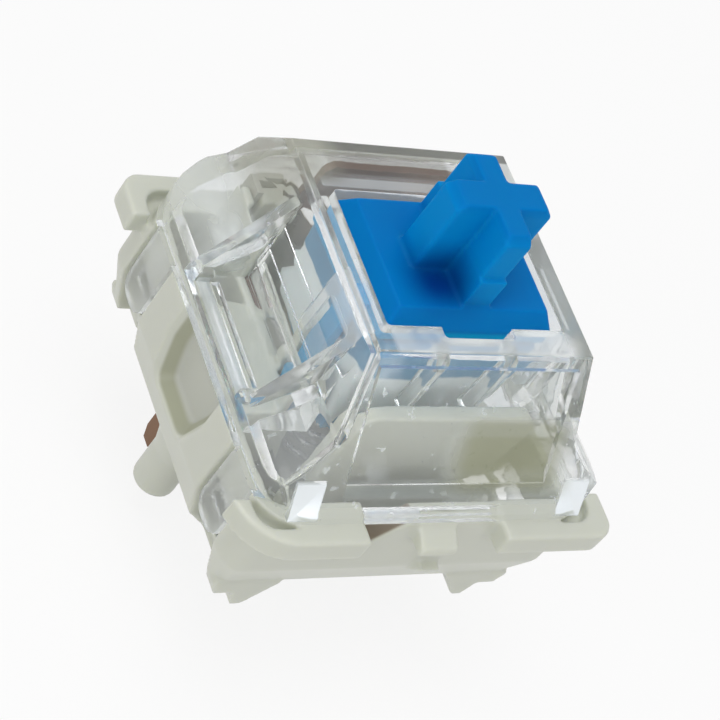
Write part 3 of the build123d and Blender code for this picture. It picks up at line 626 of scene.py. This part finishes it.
def lower_housing_shape(settings):
    """The milky lower housing: a box with recessed sides, corner pads, clip tabs, feet and posts."""
    body = square(BODY, CORNER)
    piece = solid(
        "z", (0.35, square(KEEL, 0.5)), (SKIRT_TOP, square(SKIRT, 0.5)), (BODY_LOW, body), (SEAT, body)
    )
    # Corner pads of the flange; the front left one is cut round.
    corners = ((-1, -1, 2.2), (1, -1, CORNER), (1, 1, CORNER), (-1, 1, CORNER))
    pads = prism("z", PAD_HEIGHTS, rounded([(x * FLANGE, y * FLANGE, radius) for x, y, radius in corners], 10))
    carve(pads, block(span(PAD_GAP), span(BEYOND), (4.0, 7.0)), block(span(BEYOND), span(PAD_INNER), (4.0, 7.0)))
    weld(piece, pads)
    # The upper housing's rounded foot leaves a hollow at each corner of its seat.
    hollow = prism("z", (5.45, 7.0), square(7.1, CORNER))
    carve(hollow, prism("z", (5.0, 8.0), square(BASE, BASE_CORNER)))
    carve(piece, hollow)
    for end in SIDES:
        tab_x, nub_x = -end * 0.3, -end * 1.25
        weld(piece, prism("x", (tab_x - TAB_HALF, tab_x + TAB_HALF), turned(TAB, end)))
        weld(piece, prism("x", (nub_x - NUB_HALF, nub_x + NUB_HALF), turned(NUB, end)))
    chamber = square(CHAMBER, 0.45)
    carve(piece, solid("z", (1.0, square(KEEL, 0.4)), (1.7, chamber), (8.0, chamber)))
    carve(piece, prism("y", (-BEYOND, -5.85), NOTCH))
    for side, end in CORNERS:
        weld(piece, prism("y", (end * 5.4, end * 6.5), turned(FOOT, side)))
    for side in SIDES:
        # Deep shield-shaped bowl in the middle of each side, and a bay for a latch either side of it.
        mouth = shield(2.05, 4.4, 1.45, 2.4, 0.6)
        waist = shield(1.4, 4.5, 0.95, 3.15, 0.4)
        face, back = side * (BODY - 0.02), side * (BODY - settings.bowl_depth / MM)
        carve(piece, solid("x", (side * 8.0, mouth), (face, mouth), (back, waist)))
        for end in SIDES:
            bay = (end * LATCH_BAY[0], end * LATCH_BAY[1])
            carve(piece, block((side * 6.3, side * 8.0), bay, (-3.0, 7.0)))
            carve(piece, prism("y", bay, turned(BAY_BEVEL, side)))
            carve(piece, block((side * 5.85, side * 6.4), (end * 3.75, end * 5.5), (2.6, 4.0)))
    # Wall between the two chambers, the stem's guides and the terminals' holders.
    wall = rounded([(-3.85, FLOOR), (3.85, FLOOR), (3.85, 8.8, 0.9), (-3.85, 8.8, 0.9)])
    weld(piece, prism("y", (-4.6, -4.0), wall))
    for side in SIDES:
        weld(piece, block((side * GUIDE, side * 6.05), span(GUIDE_HALF), (FLOOR, 5.6)))
        weld(piece, block((side * GUIDE, side * 4.02), (-GUIDE_HALF, -0.13), (FLOOR, 8.3)))
        carve(piece, block((0, side * 4.02), (-1.77, -0.63), (1.0, 12.0)))
    weld(piece, block((0.94, 4.14), (4.48, 5.68), (FLOOR, 3.6)))
    weld(piece, block((-4.41, -3.51), (1.64, 6.05), (FLOOR, 5.7)))
    weld(piece, block((-4.35, -4.02), (3.55, 5.9), (5.5, 7.8)), block((-4.35, -2.45), (4.7, 5.52), (5.0, 8.25)))
    # Spring post, centre post and side posts.
    weld(piece, rod(0, 0, 0.4, 5.4, 1.45), rod(0, 0, -3.3, FLOOR, 2.0, tip=0.45, sides=64))
    for side in SIDES:
        post = rod(side * SIDE_POST, 0, -2.2, 0.2, SIDE_POST_RADIUS, tip=0.3)
        weld(piece, post, rod(side * SIDE_POST, 0, 0.0, SKIRT_TOP, SIDE_POST_RADIUS, root=1.15))
    # Bore for the stem's pole, slots for the terminals and holes for the lamp's leads.
    carve(piece, rod(0, 0, -2.5, 8.0, POLE_BORE))
    carve(piece, block((1.34, 3.74), FIXED_BLADE, (1.1, 6.0)), block(PIN, FIXED_BLADE, (-1.0, 1.3)))
    carve(piece, block(BLADE, (2.04, 5.98), (1.1, 9.0)), block(BLADE, PIN, (-1.0, 1.3)))
    for side in SIDES:
        carve(piece, rod(side * LEAD_X, LEAD_Y, -1.0, 1.6, 0.5))
    return piece


# ---------------------------------------------------------------- upper housing
BASE, BASE_CORNER, SILL, TOP = 7.0, 1.7, 7.0, 11.6
FRONT_VIEW = ((BASE, 7.05), (5.95, 7.75), (5.05, 8.6), (4.6, TOP))
SIDE_VIEW = ((BASE, 8.0), (6.2, 10.2), (5.0, TOP), (-3.95, TOP), (-6.7, 6.6), (-BASE, 6.35))
WINDOW = 4.65
# How far the hollow keeps from the middle behind each window, and between which heights.
WINDOW_STEPS = ((4.1, (9.3, 14.0)), (4.22, (8.2, 9.4)), (4.34, (7.2, 8.3)), (4.1, (6.15, 7.3)))
WEB, WEB_REACH = ((6.9, SILL), (4.62, 11.0), (4.3, 11.0), (4.3, SILL)), (2.66, 3.14)
FACET = ((-6.15, 7.5), (-6.34, 7.42), (-7.0, 6.2), (-6.7, 6.2), (-6.0, 7.4))
FRONT_SLOPE = 2.75 / 5.0


def upper_hull(amount, foot):
    """The upper housing's outer form, or its hollow when it is made smaller by an amount."""
    front = [(BASE, foot), *FRONT_VIEW]
    front += turned(reversed(front), -1)
    side = [(-BASE, foot), (BASE, foot), *SIDE_VIEW]
    if amount:
        front, side = inset(front, amount), inset(side, amount)
    hull = prism("y", span(8.0), front)
    trim(hull, prism("x", span(8.0), side))
    return trim(hull, prism("z", (foot - 1.0, 12.5), square(BASE - amount, BASE_CORNER - amount)))


def upper_housing_shape(settings):
    """The clear upper housing: sloping corner wings, side windows, stem opening, lamp slot and latches."""
    window_half = settings.window_width / MM / 2
    piece = soften(upper_hull(0.0, SEAT), settings.edge / MM, 3)
    for side in SIDES:
        carve(piece, soften(block((side * WINDOW, side * BEYOND), span(window_half), (6.85, 14.0)), 0.12, 2))
    hollow = upper_hull(settings.wall / MM, 3.0)
    for side in SIDES:
        for place, heights in WINDOW_STEPS:
            carve(hollow, block((side * place, side * BEYOND), span(3.4), heights))
    carve(piece, soften(hollow, 0.2, 3))
    # Groove along each side's sill, and a square boss at either end of it.
    for side in SIDES:
        carve(piece, soften(block((side * 6.3, side * 5.95), span(2.4), (6.6, 8.0)), 0.08, 2))
        for end in SIDES:
            weld(piece, soften(block((side * 6.98, side * 6.25), (end * 2.35, end * 3.0), (6.2, 7.3)), 0.12, 2))
    # Straight web on each wing's edge, from the sill's boss to the top.
    for side, end in CORNERS:
        reach = (end * WEB_REACH[0], end * WEB_REACH[1])
        weld(piece, soften(prism("y", reach, turned(WEB, side)), 0.07, 2))
    # Shallow panel in the front face.
    high, low = [-3.95 - FRONT_SLOPE * (TOP - z) for z in (11.1, 7.4)]
    panel = ((high, 11.1), (high + 0.25, 11.0), (low + 0.25, 7.5), (low, 7.3), (low - 1.0, 7.3), (high - 1.0, 11.1))
    carve(piece, prism("x", span(4.2), panel))
    # Low arch round each rail's track, on the inner face of the window's wall.
    for side in SIDES:
        arch = prism("x", (side * 3.98, side * 4.2), rectangle(-2.75, -0.2, 7.9, 10.8, 0.5))
        carve(arch, prism("x", (side * 3.8, side * 4.09), rectangle(-2.35, -0.6, 7.5, 10.35, 0.3)))
        weld(piece, arch)
    # Slightly raised facets at the foot of the front's two corners.
    for side in SIDES:
        weld(piece, prism("x", (side * 5.05, side * 6.2), FACET))
    # Openings for the stem and for the lamp's light, and two ribs beside the lamp.
    carve(piece, block(span(3.7), span(2.85), (10.6, 14.0), 0.15))
    carve(piece, block(span(1.5), (-3.3, 0.0), (10.6, 14.0), 0.15))
    for side in SIDES:
        weld(piece, soften(block((side * 1.15, side * 1.7), (-3.75, -3.2), (7.9, 11.2)), 0.08, 2))
    for side, end in CORNERS:
        leg = rounded([(end * 3.75, 6.3), (end * 3.75, 2.6, 0.7), (end * 5.5, 2.6, 0.7), (end * 5.5, 6.3)])
        latch = soften(prism("x", (side * 6.35, side * 6.9), leg), 0.1, 2)
        weld(piece, latch, soften(block((side * 6.05, side * 6.45), (end * 4.05, end * 5.2), (3.35, 3.95)), 0.06, 2))
    return piece


# ---------------------------------------------------------------- stem
STEM_FOOT, PLATFORM = 5.1, (10.3, 11.2, 11.9)
CROSS_FOOT, CROSS_BEVEL = 11.8, 0.3


def stem_shape(settings):
    """The stem: platform with bevelled sides, keycap cross, skirt, rails and pole."""
    low, shoulder, top = PLATFORM
    foot = rectangle(-3.55, 3.55, -2.7, 2.7, 0.12)
    piece = solid("z", (low, foot), (shoulder, foot), (top, rectangle(-3.13, 3.13, -2.28, 2.28, 0.12)))
    weld(piece, block(span(2.6), span(2.4), (STEM_FOOT, 10.4)))
    carve(piece, rod(0, 0, 4.0, 9.6, 2.05, sides=64))
    weld(piece, rod(0, 0, 1.6, 9.7, 0.9, tip=0.3))
    for side in SIDES:
        weld(piece, block((side * 3.44, side * 3.9), (-1.65, -0.75), (5.4, 10.8)))
        weld(piece, block((side * 2.5, side * 2.95), span(0.8), (STEM_FOOT, 5.4)))
    cross_half, cross_top = settings.cross_size / MM / 2, settings.cross_top / MM
    for reach_x, reach_y in ((cross_half, 0.645), (0.545, cross_half)):
        tip_x, tip_y = (0.28, 0.08) if reach_x > reach_y else (0.08, 0.28)
        full = rectangle(-reach_x, reach_x, -reach_y, reach_y, 0.12)
        tip = rectangle(tip_x - reach_x, reach_x - tip_x, tip_y - reach_y, reach_y - tip_y, 0.12)
        weld(piece, solid("z", (CROSS_FOOT, full), (cross_top - CROSS_BEVEL, full), (cross_top, tip)))
    for end in SIDES:
        weld(piece, block(span(0.56), (0, end * 2.18), (CROSS_FOOT, 13.2)))
    return piece


# ---------------------------------------------------------------- click jacket
JACKET_FOOT, LOBE = 6.25, (0.25, 0.75)


def click_jacket_shape(settings):
    """The white click jacket: a square sleeve round the stem's skirt, with two lobes for the leaf."""
    top = JACKET_FOOT + settings.jacket_height / MM
    piece = prism("z", (JACKET_FOOT, top), rectangle(-3.26, 3.26, -2.97, 2.97, 0.55))
    carve(piece, prism("z", (6.0, 11.0), rectangle(-2.72, 2.72, -2.52, 2.52, 0.12)))
    lobe = rounded([
        (2.62, JACKET_FOOT), (3.32, JACKET_FOOT), (3.82, 6.5, 0.15), (3.82, 7.6, 0.4), (2.97, top - 0.05),
        (2.62, top - 0.05),
    ])
    for side in SIDES:
        weld(piece, prism("x", (side * LOBE[0], side * LOBE[1]), lobe))
    return soften(piece, 0.07, 2, angle=40.0)


# ---------------------------------------------------------------- return spring
SPRING_TURNS, SPRING_STEPS = 11.5, 400


def return_spring_shape(settings):
    """The return spring: round wire wound in open turns between its two seats."""
    low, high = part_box("return_spring")
    wire = settings.spring_wire / MM / 2
    start_place = (high[0] / MM - wire, 0, low[2] / MM + wire)
    clear_selection()
    bpy.ops.mesh.primitive_circle_add(vertices=12, radius=wire, location=start_place, rotation=(math.pi / 2, 0, 0))
    piece = bpy.context.object
    bpy.ops.object.transform_apply(location=True, rotation=True, scale=True)
    coil = piece.modifiers.new("coil", "SCREW")
    coil.angle, coil.screw_offset = 2 * math.pi * SPRING_TURNS, (high[2] - low[2]) / MM - 2 * wire
    coil.steps = coil.render_steps = SPRING_STEPS
    bpy.ops.object.modifier_apply(modifier=coil.name)
    bpy.ops.object.mode_set(mode="EDIT")
    bpy.ops.mesh.select_all(action="SELECT")
    bpy.ops.mesh.fill_holes(sides=0)
    bpy.ops.mesh.select_all(action="SELECT")
    bpy.ops.mesh.normals_make_consistent(inside=False)
    bpy.ops.object.mode_set(mode="OBJECT")
    return piece


# ---------------------------------------------------------------- settings
def length(name, description, default):
    """A size in metres."""
    return bpy.props.FloatProperty(
        name=name, description=description, default=default, min=0.00001, max=0.05, precision=5,
        subtype="DISTANCE", unit="LENGTH")


def colour(name, description, default):
    """A colour of three channels."""
    return bpy.props.FloatVectorProperty(
        name=name, description=description, default=default, size=3, min=0, max=1, subtype="COLOR")


class SwitchSettings(bpy.types.PropertyGroup):
    """Sizes and colours of the switch"""

    wall: length("Clear wall", "Thickness of the upper housing's walls", 0.00075)
    edge: length("Clear edge", "Radius of the upper housing's outer edges", 0.00013)
    window_width: length("Window", "Width of the windows in the upper housing's sides", 0.0053)
    bowl_depth: length("Bowl depth", "Depth of the bowls in the lower housing's sides", 0.00076)
    cross_size: length("Cross size", "Length of the keycap cross's arms, tip to tip", 0.004)
    cross_top: length("Cross top", "Height of the keycap cross above the circuit board", 0.0152)
    jacket_height: length("Jacket height", "Height of the click jacket", 0.004)
    spring_wire: length("Spring wire", "Thickness of the return spring's wire", 0.00028)
    milky: colour("Milky", "Colour of the lower housing", (0.62, 0.635, 0.56))
    clear: colour("Clear", "Tint of the upper housing", (0.93, 0.94, 0.93))
    blue: colour("Blue", "Colour of the stem", (0.0, 0.185, 0.52))
    white: colour("White", "Colour of the click jacket", (0.84, 0.92, 0.95))
    copper: colour("Copper", "Colour of the terminals", (0.25, 0.145, 0.09))
    bronze: colour("Bronze", "Colour of the contact leaf", (0.58, 0.53, 0.45))
    gold: colour("Gold", "Colour of the contact points", (0.86, 0.62, 0.28))
    steel: colour("Steel", "Colour of the return spring", (0.6, 0.6, 0.61))


class StudioSettings(bpy.types.PropertyGroup):
    """The camera's lens and the light"""

    lens: bpy.props.FloatProperty(
        name="Lens", description="Focal length", default=121.25, min=20, max=400, subtype="DISTANCE_CAMERA")
    world: bpy.props.FloatProperty(
        name="Room light", description="Strength of the room's even light", default=0.46, min=0, max=5)
    key: bpy.props.FloatProperty(
        name="Key light", description="Power of the main soft light", default=0.135, min=0, max=10,
        subtype="POWER", unit="POWER")


# ---------------------------------------------------------------- operators
class SWITCH_OT_lower_housing(bpy.types.Operator):
    """Model the milky lower housing"""

    bl_idname = "switch.lower_housing"
    bl_label = "Lower Housing"

    def execute(self, context):
        settings = context.scene.switch_settings
        piece = melt(lower_housing_shape(settings), 0.09)
        hand_over(
            piece, "milky_lower_housing", milky_plastic(settings), "housing", "milky_plastic", "lower_housing",
            crease=SOFT_CREASE,
        )
        return {"FINISHED"}


class SWITCH_OT_upper_housing(bpy.types.Operator):
    """Model the clear upper housing"""

    bl_idname = "switch.upper_housing"
    bl_label = "Upper Housing"

    def execute(self, context):
        settings = context.scene.switch_settings
        piece = upper_housing_shape(settings)
        hand_over(piece, "clear_upper_housing", clear_plastic(settings), "housing", "clear_plastic", "upper_housing")
        return {"FINISHED"}


class SWITCH_OT_stem(bpy.types.Operator):
    """Model the blue stem"""

    bl_idname = "switch.stem"
    bl_label = "Stem"

    def execute(self, context):
        settings = context.scene.switch_settings
        piece = melt(stem_shape(settings), 0.06)
        hand_over(piece, "blue_stem", blue_plastic(settings), "plunger", "blue_plastic", "stem", crease=SOFT_CREASE)
        return {"FINISHED"}


class SWITCH_OT_click_jacket(bpy.types.Operator):
    """Model the white click jacket"""

    bl_idname = "switch.click_jacket"
    bl_label = "Click Jacket"

    def execute(self, context):
        settings = context.scene.switch_settings
        piece = click_jacket_shape(settings)
        hand_over(piece, "white_click_jacket", white_plastic(settings), "jacket", "white_plastic", "click_jacket")
        return {"FINISHED"}


class SWITCH_OT_terminals(bpy.types.Operator):
    """Finish the two soldered terminals as stamped copper alloy"""

    bl_idname = "switch.terminals"
    bl_label = "Terminals"

    def execute(self, context):
        copper = stamped_metal("copper sheet", context.scene.switch_settings.copper, 0.28, (1, 1, 0.05))
        dress("moving_terminal", copper)
        dress("fixed_terminal", copper)
        return {"FINISHED"}


class SWITCH_OT_contacts(bpy.types.Operator):
    """Finish the contact leaf and the two contact points"""

    bl_idname = "switch.contacts"
    bl_label = "Leaf and Contact Points"

    def execute(self, context):
        settings = context.scene.switch_settings
        dress("contact_leaf", stamped_metal("spring bronze", settings.bronze, 0.22, (0.05, 1, 1)))
        gold = stamped_metal("gold ridge", settings.gold, 0.18)
        dress("moving_contact_point", gold)
        dress("fixed_contact_point", gold)
        return {"FINISHED"}


class SWITCH_OT_return_spring(bpy.types.Operator):
    """Wind the return spring"""

    bl_idname = "switch.return_spring"
    bl_label = "Return Spring"

    def execute(self, context):
        settings = context.scene.switch_settings
        finish = stamped_metal("spring steel", settings.steel, 0.2)
        piece = return_spring_shape(settings)
        hand_over(piece, "return_spring_coil", finish, "housing", "spring_steel", "return_spring")
        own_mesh(piece)
        return {"FINISHED"}


# Where each soft light stands, its size in metres and its share of the key light's power.
LAMPS = (
    ("key_light", (-0.03, 0.02, 0.18), (0.14, 0.14), 1.0),
    ("left_light", (-0.17, -0.05, 0.09), (0.08, 0.12), 0.45),
    ("front_light", (0.02, -0.18, 0.08), (0.14, 0.06), 0.35),
)
LIT_POINT = Vector((0, 0, 0.006))
FLOOR_SIZE = 3.0
CAMERA_PLACE, CAMERA_TURN = (-0.049795, -0.04178, 0.063066), (41.0849, -28.4271, -21.2067)


class SWITCH_OT_studio(bpy.types.Operator):
    """Add the white floor, the soft lights and the camera"""

    bl_idname = "switch.studio"
    bl_label = "Studio"

    def execute(self, context):
        studio = context.scene.studio_settings
        clear_selection()
        bpy.ops.mesh.primitive_plane_add(size=FLOOR_SIZE, location=(0, 0, CAD_BOUNDS[0].z))
        floor = context.object
        floor.name = "studio_floor"
        floor.data.materials.append(studio_floor())

        world = bpy.data.worlds.new("studio room")
        context.scene.world = world
        room_light(world, studio.world)

        for name, place, size, share in LAMPS:
            clear_selection()
            bpy.ops.object.light_add(type="AREA", location=place)
            lamp = context.object
            lamp.name = name
            lamp.data.shape = "RECTANGLE"
            lamp.data.size, lamp.data.size_y = size
            lamp.data.energy = studio.key * share
            aim = LIT_POINT - Vector(place)
            lamp.rotation_mode = "QUATERNION"
            lamp.rotation_quaternion = aim.to_track_quat("-Z", "Y")

        clear_selection()
        bpy.ops.object.camera_add(location=CAMERA_PLACE, rotation=[math.radians(turn) for turn in CAMERA_TURN])
        camera = context.object
        camera.data.lens = studio.lens
        camera.data.sensor_width = 36.0
        camera.data.clip_start = 0.001
        context.scene.camera = camera
        context.scene.view_settings.view_transform = "Standard"
        return {"FINISHED"}


class SWITCH_PT_panel(bpy.types.Panel):
    """Lists the steps that build the switch"""

    bl_idname = "SWITCH_PT_panel"
    bl_label = "Key Switch"
    bl_space_type = "VIEW_3D"
    bl_region_type = "UI"
    bl_category = "Key Switch"

    def draw(self, context):
        for group in (context.scene.switch_settings, context.scene.studio_settings):
            for name in group.__annotations__:
                self.layout.prop(group, name)
        for step in STEPS:
            self.layout.operator(step.bl_idname)


STEPS = (
    SWITCH_OT_lower_housing,
    SWITCH_OT_upper_housing,
    SWITCH_OT_stem,
    SWITCH_OT_click_jacket,
    SWITCH_OT_terminals,
    SWITCH_OT_contacts,
    SWITCH_OT_return_spring,
    SWITCH_OT_studio,
)
CLASSES = (SwitchSettings, StudioSettings, *STEPS, SWITCH_PT_panel)


def register():
    for kind in CLASSES:
        bpy.utils.register_class(kind)
    bpy.types.Scene.switch_settings = bpy.props.PointerProperty(type=SwitchSettings)
    bpy.types.Scene.studio_settings = bpy.props.PointerProperty(type=StudioSettings)


def unregister():
    del bpy.types.Scene.studio_settings
    del bpy.types.Scene.switch_settings
    for kind in reversed(CLASSES):
        bpy.utils.unregister_class(kind)


def main():
    register()
    for step in STEPS:
        group, name = step.bl_idname.split(".")
        getattr(getattr(bpy.ops, group), name)()


if __name__ == "__main__":
    main()
